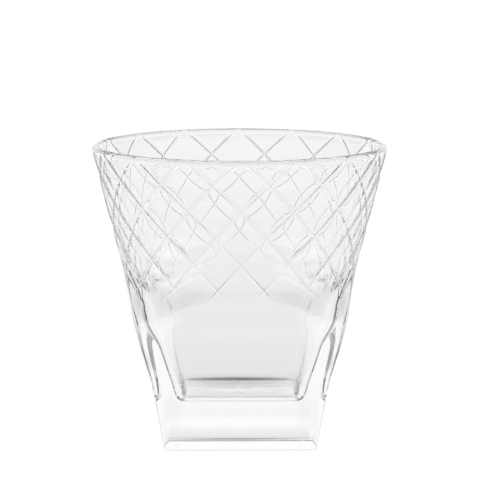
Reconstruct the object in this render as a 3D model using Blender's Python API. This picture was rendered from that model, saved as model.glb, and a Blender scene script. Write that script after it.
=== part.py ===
"""A pressed-glass whiskey tumbler: a round mouth with cut diamonds that settles into a rounded square foot."""

import math

import bpy
import numpy as np

MM = 0.001

# Outer wall: height above the table, half-width across the flats, corner radius (mm).
OUTER = (
    (0.4, 25.17, 2.0),
    (5.0, 25.95, 2.3),
    (10.3, 26.85, 2.9),
    (14.5, 27.60, 3.5),
    (18.6, 28.40, 4.1),
    (22.7, 29.30, 4.7),
    (27.0, 30.50, 5.2),
    (30.5, 31.55, 5.6),
    (34.0, 32.60, 6.2),
    (38.0, 33.65, 7.3),
    (42.0, 34.75, 9.9),
    (45.0, 35.55, 13.6),
    (48.0, 36.35, 19.6),
    (51.0, 37.20, 27.4),
    (54.5, 38.15, 34.4),
    (58.0, 39.00, 38.0),
    (63.0, 40.35, 40.2),
    (72.0, 42.70, 42.7),
    (80.0, 44.80, 44.8),
    (88.0, 46.80, 46.8),
    (96.9, 48.95, 48.95),
)
# Cavity wall, from the floor up.
INNER = (
    (19.6, 21.85, 5.2),
    (24.0, 23.05, 5.0),
    (29.0, 24.50, 4.9),
    (34.0, 25.95, 5.2),
    (39.0, 27.40, 6.3),
    (43.0, 28.50, 8.6),
    (46.0, 29.45, 11.8),
    (49.0, 30.50, 16.2),
    (52.0, 31.60, 21.4),
    (56.0, 33.10, 27.5),
    (61.0, 34.90, 32.8),
    (66.0, 36.75, 36.1),
    (72.0, 38.80, 38.7),
    (80.0, 41.30, 41.3),
    (88.0, 43.75, 43.75),
    (96.9, 46.45, 46.45),
)
LIP_TOP = 98.6
LIP_STEPS = 6
FLOOR_HEIGHT = 16.5
FLOOR_EDGE = ((18.05, 21.24, 4.74), (16.92, 20.25, 4.00), (16.51, 19.26, 3.25))
FLOOR_SCALES = (0.66, 0.33)
FOOT_EDGE = ((0.12, 25.08, 1.91), (0.0, 24.87, 1.70))
RECESS_RADIUS = 19.0
RECESS = ((0.005, 0.95), (0.025, 0.84), (0.075, 0.62), (0.13, 0.30))

# Diamond cuts: how many round the glass, and the height from one row of corners to the next.
DIAMONDS = 16
ROW_PITCH = 8.75
TOP_ROW = 98.5
CUT_DEPTH = 0.22
RIDGE_RISE = 0.34
CUT_FADE = (50.4, 57.0)
LIP_FADE = (95.4, 97.6)

COLUMNS = 4 * DIAMONDS
SQUARE_FROM = 50.0


def at_height(table, height):
    """Half-width and corner radius of a wall at one height."""
    heights = [row[0] for row in table]
    return tuple(np.interp(height, heights, [row[i] for row in table]) for i in (1, 2))


def polar_radius(angle, half, corner):
    """Distance from the axis to a rounded square's side, along a ray."""
    folded = abs((angle + math.pi / 4) % (math.pi / 2) - math.pi / 4)
    centre = half - corner
    if math.tan(folded) <= centre / half:
        return half / math.cos(folded)
    across = centre * (math.sin(folded) - math.cos(folded))
    along = centre * (math.sin(folded) + math.cos(folded))
    return along + math.sqrt(corner**2 - across**2)


def corner_angles(half, corner):
    """Ray angles of one eighth of the outline, with more of them on the corner's arc."""
    flat = half - corner
    roundness = corner / half
    arc = corner * math.pi / 4 * (1 + 7 * (1 - roundness) ** 2)
    angles = []
    for step in np.linspace(0, flat + arc, COLUMNS // 8 + 1):
        if step <= flat:
            angles.append(math.atan2(step, half))
        else:
            turn = (step - flat) / arc * math.pi / 4
            angles.append(math.atan2(flat + corner * math.sin(turn), flat + corner * math.cos(turn)))
    return angles


def ring_angles(height, half, corner):
    """Ray angles of a whole ring: even where the diamonds are, gathered at the corners lower down."""
    gather = min(1.0, max(0.0, (SQUARE_FROM - height) / 22.0))
    eighth = corner_angles(half, corner)
    angles = []
    for column in range(COLUMNS):
        quarter, place = divmod(column, COLUMNS // 4)
        mirrored = place > COLUMNS // 8
        step = COLUMNS // 4 - place if mirrored else place
        even = step * 2 * math.pi / COLUMNS
        angle = even + gather * (eighth[step] - even)
        angles.append(quarter * math.pi / 2 + (math.pi / 2 - angle if mirrored else angle))
    return angles


def ease(value, low, high):
    t = min(1.0, max(0.0, (value - low) / (high - low)))
    return t * t * (3 - 2 * t)


def cut_depth(angle, height):
    """How far the dished diamonds sink below the wall at one point."""
    across = (angle + math.pi / 2) * DIAMONDS / (2 * math.pi)
    up = (height - TOP_ROW) / (2 * ROW_PITCH)
    dish = 1.0
    for lines in (across + up, across - up):
        to_ridge = abs(lines - round(lines)) * 2
        dish *= 1 - (1 - to_ridge) ** 2
    sunk = CUT_DEPTH * dish + (RIDGE_RISE if dish > 1e-6 else 0.0)
    return sunk * ease(height, *CUT_FADE) * (1 - ease(height, *LIP_FADE))


def ring(height, half, corner, cut=False):
    points = []
    for angle in ring_angles(height, half, corner):
        radius = polar_radius(angle, half, corner)
        if cut:
            radius -= cut_depth(angle, height)
        points.append((radius * math.cos(angle), radius * math.sin(angle), height))
    return points


def outer_heights():
    """Rows of the outer wall: the table's own below the diamonds, then four to each row of diamonds."""
    plain = [row[0] for row in OUTER if row[0] < SQUARE_FROM]
    step = ROW_PITCH / 4
    cut = [TOP_ROW - i * step for i in range(1, 23)][::-1]
    return plain + [height for height in cut if height < LIP_FADE[1] - 0.4] + [96.9]


def lip_rings():
    """The rounded lip between the two walls."""
    outside, inside = at_height(OUTER, 96.9)[0], at_height(INNER, 96.9)[0]
    middle, reach = (outside + inside) / 2, (outside - inside) / 2
    rings = []
    for step in range(1, LIP_STEPS):
        turn = math.pi * step / LIP_STEPS
        radius = middle + reach * math.cos(turn)
        rings.append(ring(96.9 + (LIP_TOP - 96.9) * math.sin(turn), radius, radius))
    return rings


def tumbler_mesh():
    rings = [ring(0.0, RECESS_RADIUS, RECESS_RADIUS)]
    rings += [ring(height, half, corner) for height, half, corner in FOOT_EDGE[::-1]]
    for height in outer_heights():
        rings.append(ring(height, *at_height(OUTER, height), cut=height > SQUARE_FROM))
    rings += lip_rings()
    rings += [ring(row[0], row[1], row[2]) for row in INNER[::-1]]
    rings += [ring(row[0], row[1], row[2]) for row in FLOOR_EDGE]
    for scale in FLOOR_SCALES:
        rings.append(ring(FLOOR_HEIGHT, 19.0 * scale, 19.0 * scale * (1.2 - scale) / 1.0))
    under = [ring(rise, RECESS_RADIUS * scale, RECESS_RADIUS * scale) for rise, scale in RECESS]
    rings = under[::-1] + rings

    points = [point for each in rings for point in each]
    faces = []
    for level in range(len(rings) - 1):
        for column in range(COLUMNS):
            right = (column + 1) % COLUMNS
            low, high = level * COLUMNS, (level + 1) * COLUMNS
            corners = (low + column, low + right, high + right, high + column)
            if follows_rise(points, corners):
                faces += [(corners[0], corners[1], corners[2]), (corners[0], corners[2], corners[3])]
            else:
                faces += [(corners[0], corners[1], corners[3]), (corners[1], corners[2], corners[3])]
    last = (len(rings) - 1) * COLUMNS
    points += [(0.0, 0.0, RECESS[-1][0]), (0.0, 0.0, FLOOR_HEIGHT)]
    bottom, floor = len(points) - 2, len(points) - 1
    for column in range(COLUMNS):
        right = (column + 1) % COLUMNS
        faces.append((bottom, right, column))
        faces.append((floor, last + column, last + right))
    return points, faces


def follows_rise(points, corners):
    """Whether a cell's diagonal goes up to the right, as its diamond's ridge does."""
    middle = [sum(points[corner][i] for corner in corners) / 4 for i in range(3)]
    if middle[2] < SQUARE_FROM or math.hypot(points[corners[0]][0], points[corners[0]][1]) < 36:
        return True
    across = (math.atan2(middle[1], middle[0]) + math.pi / 2) * DIAMONDS / (2 * math.pi)
    up = (middle[2] - TOP_ROW) / (2 * ROW_PITCH)
    rising = abs((across - up) - round(across - up))
    falling = abs((across + up) - round(across + up))
    return rising < falling


def glass_material():
    material = bpy.data.materials.new("clear_glass")
    material.use_nodes = True
    shader = material.node_tree.nodes["Principled BSDF"]
    shader.inputs["Base Color"].default_value = (1.0, 1.0, 1.0, 1.0)
    shader.inputs["Roughness"].default_value = 0.02
    shader.inputs["IOR"].default_value = 1.52
    shader.inputs["Transmission Weight"].default_value = 1.0
    return material


for existing in list(bpy.data.objects):
    bpy.data.objects.remove(existing, do_unlink=True)

points, faces = tumbler_mesh()
mesh = bpy.data.meshes.new("tumbler_glass")
mesh.from_pydata([tuple(value * MM for value in point) for point in points], [], faces)
mesh.materials.append(glass_material())
mesh.update()
tumbler = bpy.data.objects.new("tumbler_glass", mesh)
bpy.context.scene.collection.objects.link(tumbler)
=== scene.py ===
import math

import bpy
import numpy as np
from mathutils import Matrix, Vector


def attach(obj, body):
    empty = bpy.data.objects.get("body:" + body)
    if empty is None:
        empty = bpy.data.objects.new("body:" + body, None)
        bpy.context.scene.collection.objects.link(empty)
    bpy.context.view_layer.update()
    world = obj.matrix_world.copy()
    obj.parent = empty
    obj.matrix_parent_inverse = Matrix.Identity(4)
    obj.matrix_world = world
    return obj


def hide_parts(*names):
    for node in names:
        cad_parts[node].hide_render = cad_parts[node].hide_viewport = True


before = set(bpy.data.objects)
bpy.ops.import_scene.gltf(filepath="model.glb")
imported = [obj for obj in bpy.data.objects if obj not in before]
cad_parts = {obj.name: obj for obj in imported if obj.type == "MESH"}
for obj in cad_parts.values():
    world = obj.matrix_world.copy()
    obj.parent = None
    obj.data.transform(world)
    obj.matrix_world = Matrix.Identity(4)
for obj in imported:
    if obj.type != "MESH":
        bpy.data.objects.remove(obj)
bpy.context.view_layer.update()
print("stage: packed model loaded")

mm = 0.001

# Sizes in mm. Wall rows are height, half-width across the flats, corner radius.
tumbler = {
    "outerWall": (
        (0.4, 25.17, 2.0), (5.0, 25.95, 2.3), (10.3, 26.85, 2.9), (14.5, 27.60, 3.5),
        (18.6, 28.40, 4.1), (22.7, 29.30, 4.7), (27.0, 30.50, 5.2), (30.5, 31.55, 5.6),
        (34.0, 32.60, 6.2), (38.0, 33.65, 7.3), (42.0, 34.75, 9.9), (45.0, 35.55, 13.6),
        (48.0, 36.35, 19.6), (51.0, 37.20, 27.4), (54.5, 38.15, 34.4), (58.0, 39.00, 38.0),
        (63.0, 40.35, 40.2), (72.0, 42.70, 42.7), (80.0, 44.80, 44.8), (88.0, 46.80, 46.8),
        (96.9, 48.95, 48.95),
    ),
    "cavityWall": (
        (19.6, 21.85, 5.2), (24.0, 23.05, 5.0), (29.0, 24.50, 4.9), (34.0, 25.95, 5.2),
        (39.0, 27.40, 6.3), (43.0, 28.50, 8.6), (46.0, 29.45, 11.8), (49.0, 30.50, 16.2),
        (52.0, 31.60, 21.4), (56.0, 33.10, 27.5), (61.0, 34.90, 32.8), (66.0, 36.75, 36.1),
        (72.0, 38.80, 38.7), (80.0, 41.30, 41.3), (88.0, 43.75, 43.75), (96.9, 46.45, 46.45),
    ),
    "lipStart": 96.9,
    "lipTop": 98.6,
    "floorHeight": 16.5,
    "footRound": 0.3,
    "recessRadius": 19.0,
    "recessRise": 0.15,
    # mesh rings in the recess, as shares of its radius
    "recessRings": (0.12, 0.3, 0.5, 0.68, 0.8, 0.88, 0.93, 0.97, 1.0),
    "facetsAround": 16,
    "topRow": 98.5,  # nominal height of the uppermost row of diamond corners
    "rowPitch": 8.75,
    "rowsDown": 6,
    "cutDepth": 0.22,
    "beadHeight": 0.34,       # the fine raised line along each ridge
    "beadWidth": 0.9,
    "ridgeSpacing": 12.9,
    "cutFade": (50.4, 57.0),
    "lipFade": (95.4, 97.6),
    "filletReach": 2.8,
    "filletLean": 0.25,       # extra inward slope near the top of the fillet
    "filletTighten": 0.75,    # how much the corner radius shrinks for each millimetre inward
    "footEase": 0.4,          # how much smaller the corner radius is on the flat ring
    "lowerRings": 40,
    "cavityRings": 52,
    "gatherReach": 20.0,      # below the diamonds, over this height mesh columns gather at the corners
    "cavityGather": (48.0, 24.0),  # where that starts inside, and over what height
    "settleReach": 10.0,      # below the lip, over this height mesh columns even out inside
    # where mesh lines lie across half a diamond, closer together beside the ridges
    "spacing": (0, 0.005, 0.010, 0.0155, 0.022, 0.05, 0.11, 0.19, 0.29, 0.395, 0.5),
}

studio = {
    "distance": 1.2,
    "azimuth": -0.66,
    "cameraHeight": 0.235,
    "aimHeight": 0.0664,
    "lens": 272.6,
    "shiftX": 0.0009,
    # painted shadow on the table: half the distance in metres from the middle of the painted shadow,
    # brightness
    "paintedShadowStops": (
        (0.0, 0.03), (0.006, 0.05), (0.012, 0.75), (0.03, 0.88), (0.06, 0.93), (0.12, 0.98),
        (0.2, 1.04), (0.35, 1.08), (0.5, 1.06), (1.0, 1.0),
    ),
    "paintedLightTowardsFront": 0.08,     # painted light: share by which the table is painted brighter in front and darker behind
    # sine of the height above the horizon, brightness: behind the tumbler
    "backStops": (
        (0.0, 0.92), (0.05, 1.0), (0.24, 1.0), (0.31, 0.5), (0.36, 0.03), (0.68, 0.03),
        (0.76, 1.0), (1.0, 1.3),
    ),
    # the same at the sides and in front
    "sideStops": (
        (0.0, 0.7), (0.1, 0.7), (0.15, 0.4), (0.2, 0.03), (0.68, 0.03), (0.74, 0.9),
        (0.8, 1.1), (1.0, 1.2),
    ),
    "backBlend": (0.45, 0.85),  # cosine of the bearing from straight behind: where the back light fades in
    "tableReach": 30.0,
    "tableGap": 0.00005,      # keeps the foot's flat ring off the table's surface
    "paintedShadowBehind": 0.036,    # centre of the tumbler's painted soft shadow on the table
}


# a smooth curve through one column of a wall table
def smoothTable(rows, heights, column):
    x = np.array([row[0] for row in rows])
    y = np.array([row[column] for row in rows])
    step = np.diff(x)
    slope = np.diff(y) / step
    middle = (slope[:-1] * step[1:] + slope[1:] * step[:-1]) / (step[1:] + step[:-1])
    grade = np.concatenate([slope[:1], middle, slope[-1:]])
    heights = np.clip(heights, x[0], x[-1])
    i = np.clip(np.searchsorted(x, heights, side="right") - 1, 0, len(x) - 2)
    t = (heights - x[i]) / step[i]
    return (
        y[i] * (1 + 2 * t) * (1 - t) ** 2 + y[i + 1] * t * t * (3 - 2 * t)
        + step[i] * (grade[i] * t * (1 - t) ** 2 - grade[i + 1] * t * t * (1 - t))
    )


# distance from the axis to a rounded square's side along a ray
def rayLength(angle, half, corner):
    folded = np.abs((angle + math.pi / 4) % (math.pi / 2) - math.pi / 4)
    centre = half - corner
    across = centre * (np.sin(folded) - np.cos(folded))
    onArc = centre * (np.sin(folded) + np.cos(folded)) + np.sqrt(np.maximum(corner**2 - across**2, 0))
    return np.where(np.tan(folded) <= centre / half, half / np.cos(folded), onArc)


# columns gather at a sharp corner, and are even on a round one
def gatheredAngles(columns, half, corner):
    eighth = columns // 8
    flat = half - corner
    arc = corner * math.pi / 4 * (1 + 7 * (1 - corner / half) ** 2)
    along = np.linspace(0, flat + arc, eighth + 1)
    turn = np.clip((along - flat) / arc, 0, 1) * math.pi / 4
    onArc = np.arctan2(flat + corner * np.sin(turn), flat + corner * np.cos(turn))
    angles = np.where(along <= flat, np.arctan2(along, half), onArc)
    place = np.arange(columns) % (2 * eighth)
    mirrored = place > eighth
    angle = angles[np.where(mirrored, 2 * eighth - place, place)]
    quarter = np.arange(columns) // (2 * eighth)
    return quarter * math.pi / 2 + np.where(mirrored, math.pi / 2 - angle, angle) - math.pi / 2


# every ring of the glass from the middle of its underside round to the middle of the cavity floor
def tumblerRings(size):
    half = size["spacing"]
    lines = list(half) + [1 - value for value in half[-2:0:-1]]
    perFacet = len(lines)
    columns = perFacet * size["facetsAround"]
    turnPerFacet = 2 * math.pi / size["facetsAround"]
    lines = np.array(lines)

    def linePlace(index):
        return index // perFacet + lines[index % perFacet]

    index = np.arange(columns)
    clustered = linePlace(index) * turnPerFacet - math.pi / 2
    even = index / perFacet * turnPerFacet - math.pi / 2
    shift = size["rowsDown"] * perFacet // 2
    rings, outer = [], []

    def addRing(angle, radius, height, isOuter=0.0):
        height = np.broadcast_to(height, angle.shape)
        rings.append(np.stack([radius * np.cos(angle), radius * np.sin(angle), height], axis=1))
        outer.append(np.full(columns, isOuter))

    def squareRing(height, halfWidth, corner, gather, start, rolled):
        angle = start + gather * (gatheredAngles(columns, halfWidth, corner) - start)
        if rolled:
            angle = np.roll(angle, -shift)
        addRing(angle, rayLength(angle, halfWidth, corner), height)

    # underside: shallow round recess, then the flat ring that the glass stands on
    for share in size["recessRings"]:
        rise = size["recessRise"] * (1 - share * share) ** 1.5
        angle = np.roll(even, -shift)
        addRing(angle, np.full(columns, size["recessRadius"] * share), rise if share < 1 else 0.0)
    low, halfLow, cornerLow = size["outerWall"][0]
    inner = halfLow - size["footRound"]
    for share in (0.3, 0.65, 1.0):
        halfWidth = size["recessRadius"] + (inner - size["recessRadius"]) * share
        corner = size["recessRadius"] + (cornerLow - size["footEase"] - size["recessRadius"]) * share
        squareRing(0.0, halfWidth, corner, share, even, True)
    for turn in np.radians((18, 36, 54, 72)):
        halfWidth = inner + size["footRound"] * math.sin(turn)
        corner = cornerLow - size["footEase"] * (1 - math.sin(turn))
        squareRing(low * (1 - math.cos(turn)), halfWidth, corner, 1.0, even, True)

    # plain lower wall
    bottom = size["topRow"] - size["rowsDown"] * size["rowPitch"]
    for height in np.linspace(low, bottom, size["lowerRings"])[:-1]:
        gather = min(1.0, (bottom - height) / size["gatherReach"])
        gather = gather * gather * (3 - 2 * gather)
        halfWidth = float(smoothTable(size["outerWall"], np.array([height]), 1)[0])
        corner = float(smoothTable(size["outerWall"], np.array([height]), 2)[0])
        squareRing(height, halfWidth, corner, gather, clustered, True)

    # the diamond field, on a grid that runs along both families of ridges and up onto the lip
    outside, inside = size["outerWall"][-1][1], size["cavityWall"][-1][1]
    lipMiddle, lipReach = (outside + inside) / 2, (outside - inside) / 2
    lipRise = size["lipTop"] - size["lipStart"]
    for depth in range(size["rowsDown"] * perFacet, -1, -1):
        p, q = linePlace(index), linePlace(index + depth)
        angle = (p + q) / 2 * turnPerFacet - math.pi / 2
        height = size["topRow"] + (p - q) * size["rowPitch"]
        halfWidth = smoothTable(size["outerWall"], height, 1)
        corner = np.minimum(smoothTable(size["outerWall"], height, 2), halfWidth)
        radius = rayLength(angle, halfWidth, corner)
        upLip = (height - size["lipStart"]) / (size["topRow"] - size["lipStart"])
        turn = np.clip(upLip, 0, 1) * math.pi / 2
        onLip = turn > 0
        radius = np.where(onLip, lipMiddle + lipReach * np.cos(turn), radius)
        height = np.where(onLip, size["lipStart"] + lipRise * np.sin(turn), height)
        addRing(angle, radius, height, 1.0)
    fieldEnd = len(rings)

    # inner half of the lip and the cavity
    for turn in np.radians((104, 118, 132, 146, 160, 171)):
        radius = lipMiddle + lipReach * math.cos(turn)
        addRing(clustered, np.full(columns, radius), size["lipStart"] + lipRise * math.sin(turn))
    top, end = size["cavityWall"][-1][0], size["cavityWall"][0][0]
    gatherTop, gatherDrop = size["cavityGather"]
    for height in np.linspace(top, end, size["cavityRings"]):
        settle = min(1.0, (top - height) / size["settleReach"])
        gather = min(1.0, max(0.0, (gatherTop - height) / gatherDrop))
        start = clustered + settle * (even - clustered)
        halfWidth = float(smoothTable(size["cavityWall"], np.array([height]), 1)[0])
        corner = float(min(halfWidth, smoothTable(size["cavityWall"], np.array([height]), 2)[0]))
        squareRing(height, halfWidth, corner, gather, start, False)
    # fillet down to the floor
    halfWidth, corner = size["cavityWall"][0][1:]
    drop = end - size["floorHeight"]
    reach = size["filletReach"]
    for turn in np.radians((12, 24, 36, 48, 60, 72, 82, 90)):
        lean = size["filletLean"] * math.sin(turn) * (1 - turn / math.radians(90))
        inward = reach * (1 - math.cos(turn) + lean)
        tighter = corner - size["filletTighten"] * inward
        squareRing(end - drop * math.sin(turn), halfWidth - inward, tighter, 1.0, even, False)
    halfWidth, corner = halfWidth - reach, corner - size["filletTighten"] * reach
    for share in (0.85, 0.65, 0.45, 0.25, 0.1):
        squareRing(size["floorHeight"], halfWidth * share, corner * share, share, even, False)
    return rings, outer, columns, fieldEnd


def tumblerMesh(size):
    rings, outer, columns, fieldEnd = tumblerRings(size)
    fieldStart = fieldEnd - 1 - size["rowsDown"] * columns // size["facetsAround"]
    points = np.concatenate(rings + [np.array([[0, 0, size["recessRise"]], [0, 0, size["floorHeight"]]])])
    faces = []
    for level in range(len(rings) - 1):
        low, high = level * columns, (level + 1) * columns
        for column in range(columns):
            right = (column + 1) % columns
            a, b, c, d = low + column, low + right, high + right, high + column
            if fieldStart <= level < fieldEnd - 1:
                faces += [(a, b, c), (a, c, d)]
            else:
                faces.append((a, b, c, d))
    last = (len(rings) - 1) * columns
    bottom, floor = len(points) - 2, len(points) - 1
    for column in range(columns):
        right = (column + 1) % columns
        faces += [(bottom, right, column), (floor, last + column, last + right)]
    mesh = bpy.data.meshes.new("tumblerGlass")
    mesh.from_pydata((points * mm).tolist(), [], faces)
    mesh.update()
    mask = mesh.attributes.new("outerWall", "FLOAT", "POINT")
    mask.data.foreach_set("value", np.concatenate(outer + [np.zeros(2)]).astype(np.float32))
    mesh.polygons.foreach_set("use_smooth", np.ones(len(mesh.polygons), bool))
    return mesh


# adds a node, sets its fields and inputs, and links what is a socket
def addNode(tree, kind, settings=None, **inputs):
    node = tree.nodes.new(kind)
    for name, value in (settings or {}).items():
        setattr(node, name, value)
    for name, value in inputs.items():
        key = int(name[1:]) if name[0] == "i" and name[1:].isdigit() else name.replace("_", " ")
        if isinstance(value, bpy.types.NodeSocket):
            tree.links.new(value, node.inputs[key])
        else:
            node.inputs[key].default_value = value
    return node


def hexColour(text):
    channels = [int(text[i:i + 2], 16) / 255 for i in (1, 3, 5)]
    return tuple(c / 12.92 if c <= 0.04045 else ((c + 0.055) / 1.055) ** 2.4 for c in channels) + (1.0,)


# Soda-lime glass, pressed in a mould and fire-polished: clear, colourless, with a faint long
# ripple from chilling against the iron and a trace of green only where it is thick.
def sodaLimeGlass():
    settings = {
        "tint": "#F1FAF6",
        "tintDensity": 2.2,
        "ior": 1.52,
        "rippleScale": 95.0,      # about one wave every 10 mm
        "rippleHeight": 0.00001,
        "polishScale": 420.0,     # about 2.4 mm
        "roughLow": 0.0,
        "roughHigh": 0.012,
    }
    material = bpy.data.materials.new("pressedSodaLimeGlass")
    material.use_nodes = True
    tree = material.node_tree
    tree.nodes.clear()
    place = addNode(tree, "ShaderNodeTexCoord").outputs["Object"]
    ripple = addNode(
        tree, "ShaderNodeTexNoise", {"noise_dimensions": "3D"},
        Vector=place, Scale=settings["rippleScale"], Detail=1.5, Roughness=0.4,
    )
    bump = addNode(
        tree, "ShaderNodeBump", None,
        Strength=1.0, Distance=settings["rippleHeight"], Height=ripple.outputs["Fac"],
    )
    polish = addNode(
        tree, "ShaderNodeTexNoise", None,
        Vector=place, Scale=settings["polishScale"], Detail=3.0, Roughness=0.5,
    )
    rough = addNode(
        tree, "ShaderNodeMapRange", None, Value=polish.outputs["Fac"],
        From_Min=0.5, From_Max=0.8, To_Min=settings["roughLow"], To_Max=settings["roughHigh"],
    )
    glass = addNode(
        tree, "ShaderNodeBsdfPrincipled", None,
        Base_Color=(1, 1, 1, 1), Metallic=0.0, IOR=settings["ior"], Transmission_Weight=1.0,
        Roughness=rough.outputs["Result"], Normal=bump.outputs["Normal"],
    )
    tint = addNode(
        tree, "ShaderNodeVolumeAbsorption", None,
        Color=hexColour(settings["tint"]), Density=settings["tintDensity"],
    )
    addNode(
        tree, "ShaderNodeOutputMaterial", None,
        Surface=glass.outputs["BSDF"], Volume=tint.outputs["Volume"],
    )
    return material


# sinks dished diamonds into the outer wall and leaves a net of ridges between them
def diamondTree(material):
    tree = bpy.data.node_groups.new("diamondCuts", "GeometryNodeTree")
    face = tree.interface
    face.new_socket("Geometry", in_out="INPUT", socket_type="NodeSocketGeometry")
    names = (
        "Facets Around", "Top Row", "Row Pitch", "Cut Depth", "Bead Height", "Bead Share",
        "Fade Start", "Fade End", "Lip Start", "Lip End",
    )
    for name in names:
        face.new_socket(name, in_out="INPUT", socket_type="NodeSocketFloat")
    face.new_socket("Geometry", in_out="OUTPUT", socket_type="NodeSocketGeometry")
    given = addNode(tree, "NodeGroupInput").outputs

    def calc(operation, a, b=0.0, c=0.0):
        return addNode(tree, "ShaderNodeMath", {"operation": operation}, i0=a, i1=b, i2=c).outputs[0]

    position = addNode(tree, "GeometryNodeInputPosition").outputs[0]
    split = addNode(tree, "ShaderNodeSeparateXYZ", None, i0=position).outputs
    turned = calc("ADD", calc("ARCTAN2", split["Y"], split["X"]), math.pi / 2)
    across = calc("MULTIPLY", turned, calc("DIVIDE", given["Facets Around"], 2 * math.pi))
    below = calc("SUBTRACT", split["Z"], given["Top Row"])
    up = calc("DIVIDE", below, calc("MULTIPLY", given["Row Pitch"], 2.0))
    dish = bead = None
    for lines in (calc("ADD", across, up), calc("SUBTRACT", across, up)):
        away = calc("MULTIPLY", calc("ABSOLUTE", calc("SUBTRACT", lines, calc("ROUND", lines))), 2.0)
        hollow = calc("SUBTRACT", 1.0, calc("POWER", calc("SUBTRACT", 1.0, away), 2.0))
        near = calc("MINIMUM", calc("DIVIDE", away, given["Bead Share"]), 1.0)
        rise = calc("POWER", calc("SUBTRACT", 1.0, calc("MULTIPLY", near, near)), 2.0)
        dish = hollow if dish is None else calc("MULTIPLY", dish, hollow)
        bead = rise if bead is None else calc("MAXIMUM", bead, rise)

    def fade(low, high, start, end):
        return addNode(
            tree, "ShaderNodeMapRange", {"interpolation_type": "SMOOTHSTEP"},
            i0=split["Z"], i1=low, i2=high, i3=start, i4=end,
        ).outputs[0]

    belowBead = calc("MULTIPLY", calc("SUBTRACT", 1.0, bead), given["Bead Height"])
    depth = calc("MULTIPLY_ADD", dish, given["Cut Depth"], belowBead)
    depth = calc("MULTIPLY", depth, fade(given["Fade Start"], given["Fade End"], 0.0, 1.0))
    depth = calc("MULTIPLY", depth, fade(given["Lip Start"], given["Lip End"], 1.0, 0.0))
    mask = addNode(
        tree, "GeometryNodeInputNamedAttribute", {"data_type": "FLOAT"}, Name="outerWall"
    ).outputs[0]
    sink = calc("MULTIPLY", calc("MULTIPLY", depth, mask), -1.0)
    normal = addNode(tree, "GeometryNodeInputNormal").outputs[0]
    offset = addNode(
        tree, "ShaderNodeVectorMath", {"operation": "SCALE"}, Vector=normal, Scale=sink
    ).outputs[0]
    moved = addNode(
        tree, "GeometryNodeSetPosition", None, Geometry=given["Geometry"], Offset=offset
    ).outputs[0]
    real = addNode(tree, "GeometryNodeRealizeInstances", None, Geometry=moved).outputs[0]
    coated = addNode(tree, "GeometryNodeSetMaterial", None, Geometry=real, Material=material).outputs[0]
    addNode(tree, "NodeGroupOutput", None, Geometry=coated)
    return tree


def makeTumbler(size, material):
    raw = bpy.data.objects.new("tumblerShell", tumblerMesh(size))
    bpy.context.scene.collection.objects.link(raw)
    tree = diamondTree(material)
    cuts = raw.modifiers.new("diamondCuts", "NODES")
    cuts.node_group = tree
    values = {
        "Facets Around": float(size["facetsAround"]),
        "Top Row": size["topRow"] * mm, "Row Pitch": size["rowPitch"] * mm,
        "Cut Depth": size["cutDepth"] * mm, "Bead Height": size["beadHeight"] * mm,
        "Bead Share": size["beadWidth"] / size["ridgeSpacing"],
        "Fade Start": size["cutFade"][0] * mm, "Fade End": size["cutFade"][1] * mm,
        "Lip Start": size["lipFade"][0] * mm, "Lip End": size["lipFade"][1] * mm,
    }
    for socket in tree.interface.items_tree:
        if socket.item_type == "SOCKET" and socket.in_out == "INPUT" and socket.name in values:
            cuts[socket.identifier] = values[socket.name]
    graph = bpy.context.evaluated_depsgraph_get()
    mesh = bpy.data.meshes.new_from_object(raw.evaluated_get(graph))
    bpy.data.objects.remove(raw, do_unlink=True)
    glass = bpy.data.objects.new("tumblerGlass", mesh)
    bpy.context.scene.collection.objects.link(glass)
    print("tumbler triangles", sum(len(face.vertices) - 2 for face in mesh.polygons))
    return glass


glassMaterial = sodaLimeGlass()
glass = makeTumbler(tumbler, glassMaterial)
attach(glass, "root")
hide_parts("tumbler_glass")
print("stage: tumbler made")


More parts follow.
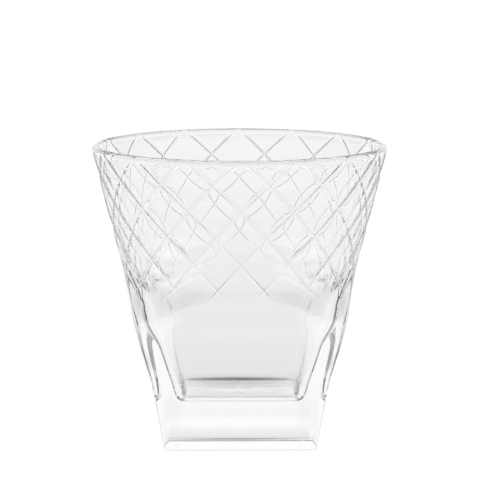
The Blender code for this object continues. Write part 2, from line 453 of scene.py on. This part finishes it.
# pale table: white to the camera, while the glass sees a glowing table with a small painted soft shadow and
# painted light, brighter in front
def makeTable():
    material = bpy.data.materials.new("whiteTableWithPaintedShadow")
    material.use_nodes = True
    tree = material.node_tree
    tree.nodes.clear()
    place = addNode(tree, "ShaderNodeTexCoord").outputs["Object"]
    spot = addNode(
        tree, "ShaderNodeVectorMath", {"operation": "SUBTRACT"}, i0=place, i1=(0, studio["paintedShadowBehind"], 0)
    ).outputs["Vector"]
    away = addNode(tree, "ShaderNodeVectorMath", {"operation": "LENGTH"}, i0=spot).outputs["Value"]
    halved = addNode(tree, "ShaderNodeMath", {"operation": "MULTIPLY"}, i0=away, i1=0.5).outputs[0]
    # painted soft shadow: the table glows darker around a spot just behind the tumbler
    ramp = addNode(tree, "ShaderNodeValToRGB", None, Fac=halved)
    setRamp(ramp, studio["paintedShadowStops"])
    bearing = addNode(tree, "ShaderNodeVectorMath", {"operation": "NORMALIZE"}, i0=place).outputs["Vector"]
    depth = addNode(tree, "ShaderNodeSeparateXYZ", None, i0=bearing).outputs["Y"]
    # painted light: the table glows brighter in front and darker behind
    factor = addNode(
        tree, "ShaderNodeMath", {"operation": "MULTIPLY_ADD"}, i0=depth, i1=-studio["paintedLightTowardsFront"], i2=1.0
    ).outputs[0]
    toneForGlass = addNode(
        tree, "ShaderNodeVectorMath", {"operation": "SCALE"}, i0=ramp.outputs["Color"], Scale=factor
    ).outputs["Vector"]
    seen = addNode(tree, "ShaderNodeLightPath").outputs["Is Camera Ray"]
    tone = addNode(
        tree, "ShaderNodeMix", {"data_type": "RGBA"}, Factor=seen, i6=toneForGlass, i7=(1, 1, 1, 1)
    ).outputs[2]
    glow = addNode(tree, "ShaderNodeEmission", None, Color=tone, Strength=1.0)
    addNode(tree, "ShaderNodeOutputMaterial", None, Surface=glow.outputs[0])
    mesh = bpy.data.meshes.new("table")
    reach = studio["tableReach"]
    corners = [(-reach, -reach, 0), (reach, -reach, 0), (reach, reach, 0), (-reach, reach, 0)]
    mesh.from_pydata(corners, [], [(0, 1, 2, 3)])
    table = bpy.data.objects.new("table", mesh)
    table.location.z = -studio["tableGap"]
    mesh.materials.append(material)
    bpy.context.scene.collection.objects.link(table)


def setRamp(ramp, stops):
    colours = ramp.color_ramp.elements
    while len(colours) < len(stops):
        colours.new(0.5)
    for element, (place, value) in zip(colours, stops):
        element.position = place
        element.color = (value, value, value, 1)


# white to the camera, while the glass sees lights with a dark gap between them
def makeSurroundings():
    world = bpy.data.worlds.new("studio")
    bpy.context.scene.world = world
    world.use_nodes = True
    tree = world.node_tree
    tree.nodes.clear()
    direction = addNode(tree, "ShaderNodeTexCoord").outputs["Generated"]
    split = addNode(tree, "ShaderNodeSeparateXYZ", None, i0=direction).outputs
    ramps = []
    for stops in (studio["sideStops"], studio["backStops"]):
        ramps.append(addNode(tree, "ShaderNodeValToRGB", None, Fac=split["Z"]))
        setRamp(ramps[-1], stops)
    level = addNode(
        tree, "ShaderNodeCombineXYZ", None, i0=split["X"], i1=split["Y"], i2=0.0
    ).outputs["Vector"]
    bearing = addNode(tree, "ShaderNodeVectorMath", {"operation": "NORMALIZE"}, i0=level).outputs["Vector"]
    depth = addNode(tree, "ShaderNodeSeparateXYZ", None, i0=bearing).outputs["Y"]
    behind = addNode(
        tree, "ShaderNodeMapRange", {"interpolation_type": "SMOOTHSTEP"},
        Value=depth, From_Min=studio["backBlend"][0], From_Max=studio["backBlend"][1],
    ).outputs["Result"]
    toneForGlass = addNode(
        tree, "ShaderNodeMix", {"data_type": "RGBA"},
        Factor=behind, i6=ramps[0].outputs["Color"], i7=ramps[1].outputs["Color"],
    ).outputs[2]
    seen = addNode(tree, "ShaderNodeLightPath").outputs["Is Camera Ray"]
    tone = addNode(
        tree, "ShaderNodeMix", {"data_type": "RGBA"}, Factor=seen, i6=toneForGlass, i7=(1, 1, 1, 1)
    ).outputs[2]
    sky = addNode(tree, "ShaderNodeBackground", None, Color=tone, Strength=1.0)
    addNode(tree, "ShaderNodeOutputWorld", None, Surface=sky.outputs[0])


def makeCamera():
    data = bpy.data.cameras.new("camera")
    data.lens = studio["lens"]
    data.sensor_width = 36
    data.shift_x = studio["shiftX"]
    data.clip_start, data.clip_end = 0.01, 100
    camera = bpy.data.objects.new("camera", data)
    turn = math.radians(studio["azimuth"])
    across, along = studio["distance"] * math.sin(turn), studio["distance"] * math.cos(turn)
    camera.location = (across, -along, studio["cameraHeight"])
    aim = Vector((0, 0, studio["aimHeight"])) - camera.location
    camera.rotation_euler = aim.to_track_quat("-Z", "Y").to_euler()
    bpy.context.scene.collection.objects.link(camera)
    bpy.context.scene.camera = camera


makeTable()
makeSurroundings()
makeCamera()
scene = bpy.context.scene
scene.view_settings.view_transform = "Standard"
scene.cycles.max_bounces = 32
scene.cycles.transmission_bounces = 32
scene.cycles.glossy_bounces = 16
scene.cycles.blur_glossy = 0.0
print("stage: studio made")
